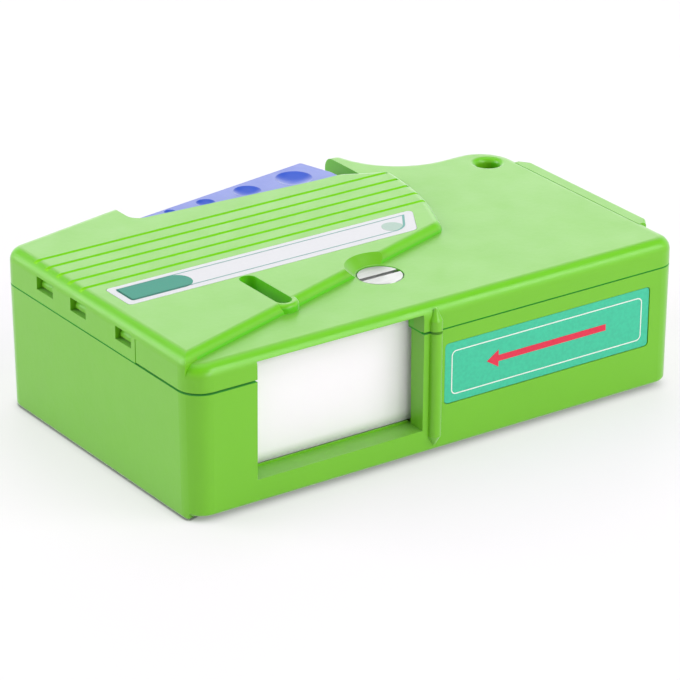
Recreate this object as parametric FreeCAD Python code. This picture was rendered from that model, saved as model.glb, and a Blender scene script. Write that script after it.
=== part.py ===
"""Cassette cleaner for fibre connectors: a hand-held case with a reel of cleaning tape.

Squeezing the thumb lever at the back winds fresh tape past the window in the front wall.
Millimetres. X runs along the front wall, Y from the front to the lever, Z up. Lengths inside
the script are measured from the corner where the front wall, the left end and the bottom
plateau would meet. CENTRE moves every piece so that the origin is the middle of the base.
"""
import FreeCAD, Part
import math
import os

os.makedirs("parts", exist_ok=True)
V = FreeCAD.Vector

# ---- driving dimensions of the case ----
CASE_LENGTH = 118.6
CASE_HEIGHT = 35.0
HORN_DEPTH = 80.0
BACK_DEPTH = 65.1
PLATEAU_RISE = 1.9
BASE_RISE = 1.1
FLOOR_LOW = 3.6
WALL = 1.8
ROOF = 1.7
PARTING_Z = 27.2
CORNER_R = 5.0
NEAR_CORNER_R = 4.2
RIM_R = 2.7
PLATEAU_R = 2.0
FOOT_R = 1.0
NOTCH_X = 29.1
HORN_X = 85.2
DRAFT_INSET = 0.4
MID_Z = CASE_HEIGHT / 2
ZONE_TOP = CASE_HEIGHT - PLATEAU_RISE
LAND_PROUD = 1.3
HAIRLINE = 0.22
WIDE_GAP = 0.5
RIB_R = 1.4
RIB_X = 57.2
RIB_SHOULDER_Z = 29.8
RIB_TIP = 2.6

# ---- window, guides and tape ----
WINDOW_X0, WINDOW_X1 = 15.0, 54.4
SILL_Z = 6.2
LINTEL_Z = 31.4
POCKET_DEPTH = 5.4
SILL_LIP_Y0, SILL_LIP_Y1, SILL_LIP_Z = 5.35, 5.75, 6.62
TAPE_Z0, TAPE_Z1 = 6.6, 29.4
TAPE_T = 0.25
TAPE_Y = 5.9
ROLLER_R = 2.6
ROLLER_GAP = 0.2
GUIDE_Y = TAPE_Y + TAPE_T + ROLLER_GAP + ROLLER_R
LEFT_GUIDE = V(9.5, GUIDE_Y, 0)
RIGHT_GUIDE = V(60.0, GUIDE_Y, 0)
PAD_T = 2.0
HOLDER_T = 2.8
HOLDER_X0, HOLDER_X1 = 17.0, 52.4
HOLDER_Y0 = TAPE_Y + TAPE_T + PAD_T

# ---- reels ----
SUPPLY = V(31.4, 38.5, 0)
TAKEUP = V(86.5, 36.0, 0)
FLANGE_R = 24.5
HUB_R = 8.5
SUPPLY_ROLL_R = 20.0
TAKEUP_ROLL_R = 13.0
POST_R = 4.0
POST_BORE_R = 2.8
RUNNING = 0.08
REEL_TOP = 30.9
REEL_BASE = 4.2
TEETH = 40
TOOTH_DEPTH = 1.2
TOOTH_FACE_DEG = -50.0

# ---- pawls ----
BACK_STOP_PIN = V(96.2, 7.0, 0)
DRIVE_PIN = V(75.0, 70.5, 0)
PAWL_Z0, PAWL_Z1 = 4.4, 6.2
PAWL_HUB_R = 2.3
BACK_STOP_LIFT = 1.2
PARKED_LIFT = 1.4

# ---- thumb lever ----
PIVOT = V(24.5, 68.0, 0)
PIVOT_PIN_R = 1.25
LEVER_Z0, LEVER_Z1 = 2.0, 33.0
LEVER_TIP = (78.8, 80.0)
LEVER_ROOT = (29.8, 72.1)
LEVER_WALL = 2.0
LEVER_PLATE = 1.8

# ---- snap tongues, coin lock, eyelet and label places ----
SNAPS = ((21.9, 27.7), (38.9, 44.8), (51.6, 57.9))
LOCK = V(56.8, 18.7, 0)
LOCK_HEAD_R = 4.8
LOCK_GAP = 0.13
EYELET = V(111.7, 56.6, 0)
EYELET_R = 2.6
EYELET_RIM_R = 1.2
LABEL_X0, LABEL_X1 = 59.6, 111.6
LABEL_Z0, LABEL_Z1 = 10.5, 23.9
LABEL_T = 0.3
SLOT_X = 31.4
SLOT_Y0, SLOT_Y1 = 13.9, 30.0
SLOT_R = 1.85

CENTRE = V((CASE_LENGTH + LAND_PROUD) / 2, (HORN_DEPTH - RIB_R) / 2, 0)


# ---- shape helpers ----
def closed_wire(corners):
    """A closed wire of straight runs joined by tangent arcs, from (x, y, radius) corners."""
    runs = []
    count = len(corners)
    for i in range(count):
        before, here, after = (V(*corners[(i + k) % count][:2], 0) for k in (-1, 0, 1))
        radius = corners[i][2]
        back, ahead = (before - here).normalize(), (after - here).normalize()
        half = back.getAngle(ahead) / 2
        reach = radius / math.tan(half)
        start, end = here + back * reach, here + ahead * reach
        to_centre = (back + ahead).normalize()
        middle = here + to_centre * (radius / math.sin(half) - radius)
        runs.append((start, middle, end, radius))
    edges = []
    for i in range(count):
        start, middle, end, radius = runs[i]
        if radius > 0:
            edges.append(Part.Arc(start, middle, end).toShape())
        edges.append(Part.LineSegment(end, runs[(i + 1) % count][0]).toShape())
    return Part.Wire(edges)


def prism(wire, z0, z1):
    """Stands the face of a flat wire up between two heights."""
    face = Part.Face(wire)
    face.translate(V(0, 0, z0))
    return face.extrude(V(0, 0, z1 - z0))


def plan(corners, z0, z1):
    return prism(closed_wire(corners), z0, z1)


def block(x0, x1, y0, y1, z0, z1):
    return Part.makeBox(x1 - x0, y1 - y0, z1 - z0, V(x0, y0, z0))


def rod(centre, radius, z0, z1):
    return Part.makeCylinder(radius, z1 - z0, V(centre.x, centre.y, z0))


def tube(centre, outer, inner, z0, z1):
    return rod(centre, outer, z0, z1).cut(rod(centre, inner, z0 - 1, z1 + 1))


def edges_at(shape, z, keep=None):
    """The edges that lie flat at one height, or those of them that keep() accepts."""
    flat = [e for e in shape.Edges if abs(e.BoundBox.ZMin - z) < 1e-4 and abs(e.BoundBox.ZMax - z) < 1e-4]
    return [e for e in flat if keep is None or keep(e)]


def polar(centre, radius, degrees):
    angle = math.radians(degrees)
    return V(centre.x + radius * math.cos(angle), centre.y + radius * math.sin(angle), 0)


def stadium(x, y0, y1, radius, z0, z1):
    """A slot along Y with round ends."""
    ends = [rod(V(x, y, 0), radius, z0, z1) for y in (y0 + radius, y1 - radius)]
    return ends[0].fuse([ends[1], block(x - radius, x + radius, y0 + radius, y1 - radius, z0, z1)])


def mirrored(shape):
    """The same form turned upside down about the case's middle height."""
    return shape.mirror(V(0, 0, MID_Z), V(0, 0, 1))


# ---- plan of the case ----
def case_outline():
    """Plan of both shells before the lever's notch: eyelet lug, horn with its hollow back, slanted back."""
    return closed_wire([
        (0, 0, CORNER_R),
        (CASE_LENGTH, 0, NEAR_CORNER_R),
        (CASE_LENGTH, BACK_DEPTH, 8.9),
        (92.2, BACK_DEPTH, 15.6),
        (88.7, HORN_DEPTH, 3.0),
        (42.9, HORN_DEPTH, 20.0),
        (0, 70.9, NEAR_CORNER_R),
    ])


def lever_notch(z0, z1):
    """The notch in the back that the lever fills, with crisp edges."""
    return plan([
        (HORN_X, 95, 0), (NOTCH_X, 95, 0), (NOTCH_X, 67.9, 3.0), (71.3, 64.9, 80.0), (HORN_X, 64.8, 1.0),
    ], z0, z1)


def cavity(z0, z1):
    """The room inside both shells, open through the back wall where the lever enters."""
    return plan([
        (WALL, WALL, CORNER_R - WALL),
        (CASE_LENGTH - WALL, WALL, NEAR_CORNER_R - WALL),
        (CASE_LENGTH - WALL, BACK_DEPTH - WALL, 7.1),
        (83.9, BACK_DEPTH - WALL, 0),
        (83.9, 70.8, 0),
        (27.3, 70.8, 0),
        (27.3, 74.85, 0.8),
        (WALL, 69.44, NEAR_CORNER_R - WALL),
    ], z0, z1)


def plateau_plan(z0, z1):
    """The raised part: a straight front edge from the left corner and a bowed right edge."""
    return plan([
        (-5, 1.08, 0), (81.0, 30.33, 4.0), (87.5, 45.6, 60.0), (89.6, 61.2, 3.0), (23.7, 95, 0), (-5, 95, 0),
    ], z0, z1)


def plateau_pocket(z0, z1):
    """The room inside the plateau, one wall thickness in from its edges."""
    inner = plan([
        (-5, 2.98, 0), (79.4, 31.7, 2.0), (85.4, 46.1, 60.0), (87.4, 60.1, 1.5),
        (83.2, 62.2, 0), (83.2, 66, 0), (-5, 66, 0),
    ], z0, z1)
    back = plan([(WALL, 60, 0), (83.2, 60, 0), (83.2, 70, 0), (31, 80, 0), (WALL, 80, 0)], z0, z1)
    room = inner.fuse(back).common(cavity(z0, z1))
    for centre, radius in ((LOCK, 8.6), (TAKEUP, 6.6)):
        room = room.cut(rod(centre, radius, z0 - 1, z1 + 1))
    return room.removeSplitter()


def rounded_rim(shape, z, radius):
    return shape.makeFillet(radius, edges_at(shape, z))


# ---- top cover ----
def cover_skin():
    """The cover's outside: the rounded low zone with the rounded plateau standing on it."""
    low = rounded_rim(prism(case_outline(), PARTING_Z, ZONE_TOP), ZONE_TOP, RIM_R)
    high = rounded_rim(prism(case_outline(), PARTING_Z, CASE_HEIGHT), CASE_HEIGHT, RIM_R)
    high = high.common(rounded_rim(plateau_plan(PARTING_Z - 1, CASE_HEIGHT), CASE_HEIGHT, PLATEAU_R))
    boss_top = CASE_HEIGHT - 0.05
    boss = rounded_rim(rod(V(SLOT_X, SLOT_Y0 + SLOT_R, 0), 3.2, ZONE_TOP - 1, boss_top), boss_top, 0.9)
    skin = low.fuse([high, boss, right_land(PARTING_Z, ZONE_TOP)])
    return skin.cut(lever_notch(PARTING_Z - 1, CASE_HEIGHT + 1))


def right_land(z0, z1):
    """The long raised land on the right end, a finger's hold."""
    land = plan([
        (CASE_LENGTH - 2, 10.6, 0), (CASE_LENGTH, 10.6, 0), (CASE_LENGTH + LAND_PROUD, 12.4, 1.0),
        (CASE_LENGTH + LAND_PROUD, 51.6, 1.0), (CASE_LENGTH, 53.4, 0), (CASE_LENGTH - 2, 53.4, 0),
    ], z0, z1)
    top = [e for e in edges_at(land, z1) if e.BoundBox.XMin > CASE_LENGTH - 0.01]
    return land.makeFillet(0.9, top)


def cover_grooves():
    """Five grip grooves along X that run out over the plateau's left rim."""
    radius, sink = 0.5, 0.05
    ends = [87.8, 87.4, 87.0, 86.5, 85.7]
    tools = []
    for i, end in enumerate(ends):
        y = 60.3 - 4.39 * i
        tools.append(Part.makeCylinder(radius, end - 0.4, V(0.4, y, CASE_HEIGHT + sink), V(1, 0, 0)))
    return tools


def jambs(z0, z1, right_depth):
    """The window's two side walls, which reach back towards the tape."""
    left = block(WINDOW_X0 - WALL, WINDOW_X0, 0.9, POCKET_DEPTH, z0, z1)
    right = block(WINDOW_X1, WINDOW_X1 + WALL, 0.9, right_depth, z0, z1)
    return [left, right]


def pillar_rib(z0, z1):
    """The half-round rib beside the window."""
    return Part.makeCylinder(RIB_R, z1 - z0, V(RIB_X, 0, z0))


def top_cover():
    body = cover_skin()
    body = body.cut(cavity(PARTING_Z - 1, ZONE_TOP - ROOF))
    body = body.cut(plateau_pocket(ZONE_TOP - ROOF - 0.5, CASE_HEIGHT - ROOF))
    roof_under = ZONE_TOP - ROOF + 0.3
    rib = pillar_rib(PARTING_Z, RIB_SHOULDER_Z)
    rib_top = Part.makeCone(RIB_R, 0.2, RIB_TIP, V(RIB_X, 0, RIB_SHOULDER_Z))
    inside = jambs(PARTING_Z, roof_under, POCKET_DEPTH) + [
        tube(LOCK, 6.4, 2.5, 29.5, roof_under + 0.5),
        tube(EYELET, 4.6, EYELET_R, PARTING_Z, roof_under),
        rod(SUPPLY, POST_R, 31.3, CASE_HEIGHT - 1),
        rod(SUPPLY, 2.65, 25.5, CASE_HEIGHT - 1),
        rod(TAKEUP, POST_R, 31.2, roof_under),
        rod(TAKEUP, 2.65, 25.5, roof_under),
        tube(LEFT_GUIDE, 2.2, 1.05, 29.9, CASE_HEIGHT - 1.2),
        tube(RIGHT_GUIDE, 2.2, 1.05, 29.9, roof_under),
        tube(PIVOT, 2.8, PIVOT_PIN_R + 0.05, 28.6, CASE_HEIGHT - 1.2),
    ]
    skirt = stadium(SLOT_X, SLOT_Y0 - 1.2, SLOT_Y1 + 1.2, SLOT_R + 1.2, ZONE_TOP - ROOF, CASE_HEIGHT - 1)
    for piece in inside + [rib, rib_top, skirt]:
        body = body.fuse(piece)
    cuts = [
        block(WINDOW_X0, WINDOW_X1, -3, POCKET_DEPTH + 0.4, PARTING_Z - 1, LINTEL_Z),
        stadium(SLOT_X, SLOT_Y0, SLOT_Y1, SLOT_R, 20, CASE_HEIGHT + 1),
        rod(LOCK, LOCK_HEAD_R + LOCK_GAP, 31.7, CASE_HEIGHT + 1),
        rod(LOCK, 2.5, 20, 32),
        Part.makeCone(5.4, 8.2, PLATEAU_RISE + 0.6, V(LOCK.x + 0.3, LOCK.y, ZONE_TOP)),
        rod(EYELET, EYELET_R, 20, CASE_HEIGHT + 1),
    ] + cover_grooves()
    for y0, y1 in SNAPS:
        cuts.append(block(-1, WALL + 0.2, y0, y1, 30.0, 32.8))
    cuts.append(sticker_plate(0.25, 0.08))
    cuts.append(block(-1, 0.16, 20.15, 20.45, PARTING_Z - 1, 32.6))
    cuts += parting_gap()
    cuts += [Part.makeBox(*size, corner) for size, corner in lip_segments(0.08)]
    body = body.cut(cuts)
    rim = [e for e in edges_at(body, ZONE_TOP) if near(e, EYELET, EYELET_R)]
    body = body.makeFillet(EYELET_RIM_R, rim)
    return body.removeSplitter()


def near(edge, centre, radius):
    """True for a round edge of that radius about a vertical axis."""
    box = edge.BoundBox
    return abs(box.XMax - centre.x - radius) < 0.01 and abs(box.XMin - centre.x + radius) < 0.01


def parting_gap():
    """The joint between the shells, a hairline that opens up round the window's end."""
    outline = case_outline()
    gaps = []
    for height, depth in ((HAIRLINE, 0.5), (WIDE_GAP, 0.9)):
        band = prism(outline.makeOffset2D(2.5), PARTING_Z - 0.1, PARTING_Z + height)
        gaps.append(band.cut(prism(outline.makeOffset2D(-depth), PARTING_Z - 1, PARTING_Z + 1)))
    gaps[1] = gaps[1].common(block(-3, RIB_X + RIB_R + 0.1, -3, 20.3, PARTING_Z - 1, PARTING_Z + 1))
    return gaps


def lip_segments(gap):
    """Straight tongues on the case that locate the cover, each a size and a corner."""
    t, high = 0.8 + gap, 1.3 + gap
    z = PARTING_Z - 0.3
    return [
        ((48 + gap, t, high + 0.3), V(63 - gap / 2, WALL - 0.8 - gap, z)),
        ((t, 44 + gap, high + 0.3), V(CASE_LENGTH - WALL, 9 - gap / 2, z)),
    ]


# ---- bottom case ----
def case_skin():
    """The case's outside, drawn in towards its foot, with the plateau turned down."""
    outline = case_outline()
    foot = outline.makeOffset2D(-DRAFT_INSET)
    top = outline.copy()
    top.translate(V(0, 0, PARTING_Z))
    body = Part.makeLoft([foot, top], True, True)
    low = body.common(block(-9, 130, -9, 99, BASE_RISE, 40))
    low = rounded_rim(low, BASE_RISE, FOOT_R)
    high = rounded_rim(body, 0, FOOT_R).common(rounded_rim(plateau_plan(0, 40), 0, FOOT_R))
    skin = low.fuse([high, mirrored(right_land(CASE_HEIGHT - PARTING_Z, CASE_HEIGHT - BASE_RISE))])
    return skin.cut(lever_notch(-1, PARTING_Z + 1))


def label_recess(depth):
    """The shallow place of the front label, with rounded corners."""
    sketch = plan([
        (LABEL_X0, LABEL_Z0, 0.9), (LABEL_X1, LABEL_Z0, 0.9),
        (LABEL_X1, LABEL_Z1, 0.9), (LABEL_X0, LABEL_Z1, 0.9),
    ], 0, depth + 2)
    sketch.rotate(V(0, 0, 0), V(1, 0, 0), 90)
    sketch.translate(V(0, depth, 0))
    return lean(sketch)


def lean(shape):
    """Leans a shape with the front wall's draft, about the parting line."""
    shape.rotate(V(0, 0, PARTING_Z), V(1, 0, 0), math.degrees(math.atan(DRAFT_INSET / PARTING_Z)))
    return shape


def snap_tongue(y0, y1):
    """A springy tongue with a barb that locks in one of the cover's windows."""
    play = 0.35
    section = Part.makePolygon([
        V(1.2, 0, 20), V(3.1, 0, 20), V(3.1, 0, 32.2), V(1.9, 0, 32.4), V(1.0, 0, 31.3),
        V(1.0, 0, 30.5), V(1.95, 0, 30.3), V(1.95, 0, 26.9), V(1.2, 0, 26.9), V(1.2, 0, 20),
    ])
    tongue = Part.Face(section).extrude(V(0, y1 - y0 - 2 * play, 0))
    tongue.translate(V(0, y0 + play, 0))
    return tongue


def lock_socket():
    """The bayonet socket: a tube with a keyhole plate that the lock's wings turn under."""
    socket = tube(LOCK, 6.4, 4.7, 3.0, 26.4)
    plate = rod(LOCK, 5.0, 24.6, 26.4).cut(rod(LOCK, 2.75, 20, 30))
    keyhole = block(LOCK.x - 1.5, LOCK.x + 1.5, LOCK.y - 4.6, LOCK.y + 4.6, 20, 30)
    return socket.fuse(plate.cut(keyhole))


def bottom_case():
    body = case_skin()
    body = body.cut(cavity(FLOOR_LOW, PARTING_Z + 1))
    body = body.cut(plateau_pocket(ROOF, FLOOR_LOW + 0.5))
    sill = block(WINDOW_X0 - WALL, WINDOW_X1 + WALL, 0.9, SILL_LIP_Y1, SILL_Z - 1.6, SILL_Z)
    rib = lean(pillar_rib(4.6, PARTING_Z - 0.06))
    rib_foot = lean(Part.makeCone(0.3, RIB_R, 2.0, V(RIB_X, 0, 2.6)))
    inside = jambs(PLATEAU_RISE + 1, PARTING_Z, POCKET_DEPTH - 1.0) + [
        sill, rib, rib_foot, lock_socket(),
        tube(EYELET, 4.6, EYELET_R, 2.5, PARTING_Z),
        tube(SUPPLY, POST_R, POST_BORE_R, 1.0, 28.9),
        tube(SUPPLY, 6.4, POST_R - 0.5, 1.0, REEL_BASE + 0.5),
        tube(TAKEUP, POST_R, POST_BORE_R, 3.0, 28.9),
        tube(TAKEUP, 6.4, POST_R - 0.5, 3.0, REEL_BASE - 0.2),
        tube(LEFT_GUIDE, 2.2, 1.0, 1.0, TAPE_Z0 - 1.3),
        tube(RIGHT_GUIDE, 2.2, 1.0, 3.0, TAPE_Z0 - 1.3),
        tube(PIVOT, 2.8, PIVOT_PIN_R, 1.0, 5.8),
        tube(BACK_STOP_PIN, 2.0, 1.0, 3.0, 4.2),
        brake_post(),
    ]
    for x in (HOLDER_X0, HOLDER_X1):
        inside.append(block(x - 1.2, x + 1.2, HOLDER_Y0 - 0.3, HOLDER_Y0 + HOLDER_T + 1.2, 2.5, 6.7))
    for y0, y1 in SNAPS:
        inside.append(snap_tongue(y0, y1))
    inside += [Part.makeBox(*size, corner) for size, corner in lip_segments(0)]
    body = body.fuse(inside)
    cuts = [
        block(WINDOW_X0, WINDOW_X1, -3, POCKET_DEPTH + 0.4, SILL_Z, PARTING_Z + 2),
        label_recess(0.45),
        rod(EYELET, EYELET_R, -1, 40),
        rod(LEFT_GUIDE, 1.0, 1.7, 6.0),
        block(HOLDER_X0 - 0.05, HOLDER_X1 + 0.05, HOLDER_Y0 - 0.05, HOLDER_Y0 + HOLDER_T + 0.05, 3.9, 40),
    ]
    body = body.cut(cuts)
    body = body.fuse(block(WINDOW_X0 - 0.5, WINDOW_X1, SILL_LIP_Y0, SILL_LIP_Y1, SILL_Z - 0.5, SILL_LIP_Z))
    rim = [e for e in edges_at(body, BASE_RISE) if near(e, EYELET, EYELET_R)]
    body = body.makeFillet(EYELET_RIM_R, rim)
    return body.removeSplitter()


# ---- window parts ----
def pad_holder():
    """The stiff plate behind the pad, with two ribs down its back."""
    plate = block(HOLDER_X0, HOLDER_X1, HOLDER_Y0, HOLDER_Y0 + HOLDER_T - 1.2, 3.9, TAPE_Z1)
    ribs = [block(x, x + 1.4, HOLDER_Y0, HOLDER_Y0 + HOLDER_T, 3.9, TAPE_Z1)
            for x in (HOLDER_X0, HOLDER_X0 + 11.3, HOLDER_X0 + 22.7, HOLDER_X1 - 1.4)]
    return plate.fuse(ribs).removeSplitter()


def backing_pad():
    """The soft rubber pad that the ferrule presses the tape against."""
    pad = block(HOLDER_X0, HOLDER_X1, HOLDER_Y0 - PAD_T, HOLDER_Y0, TAPE_Z0 + 0.2, TAPE_Z1 - 0.2)
    front = [e for e in pad.Edges if e.BoundBox.YMax < HOLDER_Y0 - PAD_T + 0.01]
    return pad.makeFillet(0.6, front)


def guide_roller(centre):
    roller = tube(centre, ROLLER_R, 1.06, TAPE_Z0 - 1.2, TAPE_Z1 + 0.3)
    waist = tube(centre, ROLLER_R + 1, ROLLER_R - 0.35, 12, 24)
    return roller.cut(waist)


def guide_pin(centre, foot):
    pin = rod(centre, 1.0, foot, 31.2)
    return pin.makeChamfer(0.3, edges_at(pin, 31.2))


# ---- cleaning tape ----
def tangent_run(c0, r0, c1, r1):
    """Ends of the run that touches two circles, both on the run's left."""
    gap = c1 - c0
    heading = math.atan2(gap.y, gap.x)
    lean_in = math.acos((r0 - r1) / gap.Length)
    normal = heading - lean_in
    side = V(math.cos(normal), math.sin(normal), 0)
    return c0 + side * r0, c1 + side * r1


def tape_line(offset):
    """The tape's path round both guides, from the supply roll to the take-up roll."""
    roll_gap = 0.3
    stops = [
        (SUPPLY, SUPPLY_ROLL_R + roll_gap), (LEFT_GUIDE, ROLLER_R + ROLLER_GAP),
        (RIGHT_GUIDE, ROLLER_R + ROLLER_GAP), (TAKEUP, TAKEUP_ROLL_R + roll_gap),
    ]
    stops = [(centre, radius + offset) for centre, radius in stops]
    runs = [tangent_run(*stops[i], *stops[i + 1]) for i in range(3)]
    edges = []
    for i, (start, end) in enumerate(runs):
        edges.append(Part.LineSegment(start, end).toShape())
        if i < 2:
            centre, radius = stops[i + 1]
            after = runs[i + 1][0]
            middle = centre + ((end - centre) + (after - centre)).normalize() * radius
            edges.append(Part.Arc(end, middle, after).toShape())
    return edges


def tape_span():
    """The stretch of tape between the two rolls."""
    inner, outer = tape_line(0), tape_line(TAPE_T)
    ends = [(inner[0].Vertexes[0].Point, outer[0].Vertexes[0].Point),
            (inner[-1].Vertexes[1].Point, outer[-1].Vertexes[1].Point)]
    caps = [Part.LineSegment(a, b).toShape() for a, b in ends]
    wire = Part.Wire(Part.__sortEdges__(inner + outer + caps))
    return prism(wire, TAPE_Z0, TAPE_Z1)


# ---- reels ----
def reel_hub(centre, base):
    """Hub barrel, bearing sleeve and the web that joins them."""
    barrel = tube(centre, HUB_R, HUB_R - 1.2, base, REEL_TOP)
    sleeve = tube(centre, POST_R + RUNNING + 1.2, POST_R + RUNNING, base, 28.8)
    web = tube(centre, HUB_R - 0.5, POST_R + RUNNING + 0.5, 16.0, 17.5)
    return [barrel, sleeve, web]


def flange_windows(centre, z0, z1, turn):
    """Six openings between a flange's spokes."""
    ring = tube(centre, FLANGE_R - 3.0, HUB_R + 3.4, z0, z1)
    spokes = []
    for k in range(6):
        spoke = block(centre.x, centre.x + FLANGE_R, centre.y - 1.5, centre.y + 1.5, z0 - 1, z1 + 1)
        spoke.rotate(centre, V(0, 0, 1), 60 * k + turn)
        spokes.append(spoke)
    return ring.cut(spokes)


def supply_reel():
    base = REEL_BASE + 0.7
    flanges = []
    for z0, z1 in ((base, TAPE_Z0 - 0.1), (TAPE_Z1 + 0.2, REEL_TOP)):
        disc = tube(SUPPLY, FLANGE_R, HUB_R - 0.5, z0, z1)
        flanges.append(disc.cut(flange_windows(SUPPLY, z0 - 0.1, z1 + 0.1, 0)))
    hub = reel_hub(SUPPLY, base)
    return hub[0].fuse(hub[1:] + flanges).removeSplitter()


def ratchet_plate(z0, z1):
    """The take-up reel's toothed flange: steep faces look clockwise."""
    tip, root = FLANGE_R, FLANGE_R - TOOTH_DEPTH
    pitch = 360 / TEETH
    points = []
    for k in range(TEETH):
        face = TOOTH_FACE_DEG + pitch * k
        points += [polar(TAKEUP, root, face), polar(TAKEUP, tip, face + 0.3), polar(TAKEUP, tip, face + 1.2)]
    plate = prism(Part.makePolygon(points + points[:1]), z0, z1)
    return plate.cut(rod(TAKEUP, HUB_R - 0.5, z0 - 1, z1 + 1))


def takeup_reel():
    toothed = ratchet_plate(REEL_BASE, TAPE_Z0 - 0.3)
    toothed = toothed.cut(flange_windows(TAKEUP, REEL_BASE - 0.1, TAPE_Z0, 30))
    upper = tube(TAKEUP, FLANGE_R, HUB_R - 0.5, TAPE_Z1 + 0.3, REEL_TOP)
    upper = upper.cut(flange_windows(TAKEUP, TAPE_Z1, REEL_TOP + 0.1, 30))
    hub = reel_hub(TAKEUP, REEL_BASE)
    return hub[0].fuse(hub[1:] + [toothed, upper]).removeSplitter()


def tape_roll(centre, radius):
    return tube(centre, radius, HUB_R, TAPE_Z0, TAPE_Z1)


def brake_post():
    """A slotted post near the left wall that holds the supply brake's blade."""
    post = block(2.9, 6.1, 63.8, 67.0, 1.0, 18.0)
    return post.cut(block(4.1, 4.45, 63.5, 66.1, 4.85, 19.0))


def supply_brake():
    """A bent steel blade whose free end rubs the supply reel's lower flange rim."""
    path = [V(4.4, 66.0, 0), V(4.4, 60.0, 0), V(7.8, 51.5, 0), V(7.6, 49.5, 0)]
    t = 0.25
    outer = path + [p + V(-t, 0, 0) for p in reversed(path)]
    blade = Part.Face(Part.makePolygon(outer + outer[:1])).extrude(V(0, 0, 2.0))
    blade.translate(V(0, 0, 8.5))
    foot = Part.Face(Part.makePolygon(outer + outer[:1])).extrude(V(0, 0, 3.6))
    foot.translate(V(0, 0, 4.9))
    return blade.fuse(foot).removeSplitter()


# ---- ratchet pawls ----
def pawl(pin, face, lift, waist, bow):
    """A tapered arm, bowed away from the wheel, whose hooked tip fits a tooth gap.

    The lift holds the tip that far out of the gap.
    """
    root = FLANGE_R - TOOTH_DEPTH + lift
    tip = [polar(TAKEUP, root + 0.95, face - 2.4), polar(TAKEUP, root + 0.35, face - 0.5),
           polar(TAKEUP, root + 2.8, face + 0.4)]
    reach = tip[1] - pin
    across = V(-reach.y, reach.x, 0).normalize()
    middle = pin + reach * 0.55 - across * bow
    side = across * waist
    outline = [pin + side, middle + side * 0.7] + tip + [middle - side * 0.8, pin - side]
    arm = prism(Part.makePolygon(outline + outline[:1]), PAWL_Z0, PAWL_Z1)
    return arm.fuse(rod(pin, PAWL_HUB_R, PAWL_Z0, PAWL_Z1)).cut(rod(pin, 1.06, 0, 20)).removeSplitter()


def back_stop_pawl():
    """Drops into a tooth gap and stops the take-up reel from turning back; shown lifted clear."""
    return pawl(BACK_STOP_PIN, TOOTH_FACE_DEG, BACK_STOP_LIFT, 1.7, 0.3)


def drive_pawl():
    """Hangs on the lever, parked just clear of the teeth while the lever is out."""
    arm = pawl(DRIVE_PIN, TOOTH_FACE_DEG + 360 / TEETH * 22, PARKED_LIFT, 1.6, 2.7)
    collar = tube(DRIVE_PIN, PAWL_HUB_R, 1.06, PAWL_Z1, PAWL_Z1 + 1.5)
    return arm.fuse(collar).removeSplitter()


def leaf(points, z0, z1, t=0.25):
    """A thin bent strip of spring steel that follows plan points."""
    ups, downs = [], []
    for i, p in enumerate(points):
        ahead = points[min(i + 1, len(points) - 1)] - points[max(i - 1, 0)]
        side = V(-ahead.y, ahead.x, 0).normalize() * (t / 2)
        ups.append(p + side)
        downs.append(p - side)
    ring = ups + downs[::-1]
    return prism(Part.makePolygon(ring + ring[:1]), z0, z1)


def back_stop_spring():
    """A leaf between the front wall and the back-stop pawl's arm."""
    return leaf([V(112.6, 3.0, 0), V(108.0, 4.6, 0), V(103.6, 8.2, 0), V(101.6, 11.6, 0)], 4.5, 6.1)


def drive_pawl_spring():
    """A leaf between the lever's wall and the drive pawl's arm."""
    return leaf([V(63.5, 75.2, 0), V(63.5, 73.0, 0), V(65.4, 68.6, 0), V(67.5, 64.2, 0)], 4.5, 6.1)


# ---- thumb lever ----
def lever_plate(z0, z1):
    return plan([
        (LEVER_ROOT[0], LEVER_ROOT[1], 0.6), (LEVER_ROOT[0], 66.3, 0.6), (33, 66.0, 3.0), (71, 63.4, 9.0),
        (81.6, 63.2, 1.0), (81.2, 71.6, 6.0), (LEVER_TIP[0], LEVER_TIP[1], 0.9),
    ], z0, z1)


def lever_offset(x, inward):
    """Y of the lever's outer face at x, moved inward."""
    slope = (LEVER_TIP[1] - LEVER_ROOT[1]) / (LEVER_TIP[0] - LEVER_ROOT[0])
    return LEVER_ROOT[1] + slope * (x - LEVER_ROOT[0]) - inward


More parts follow.
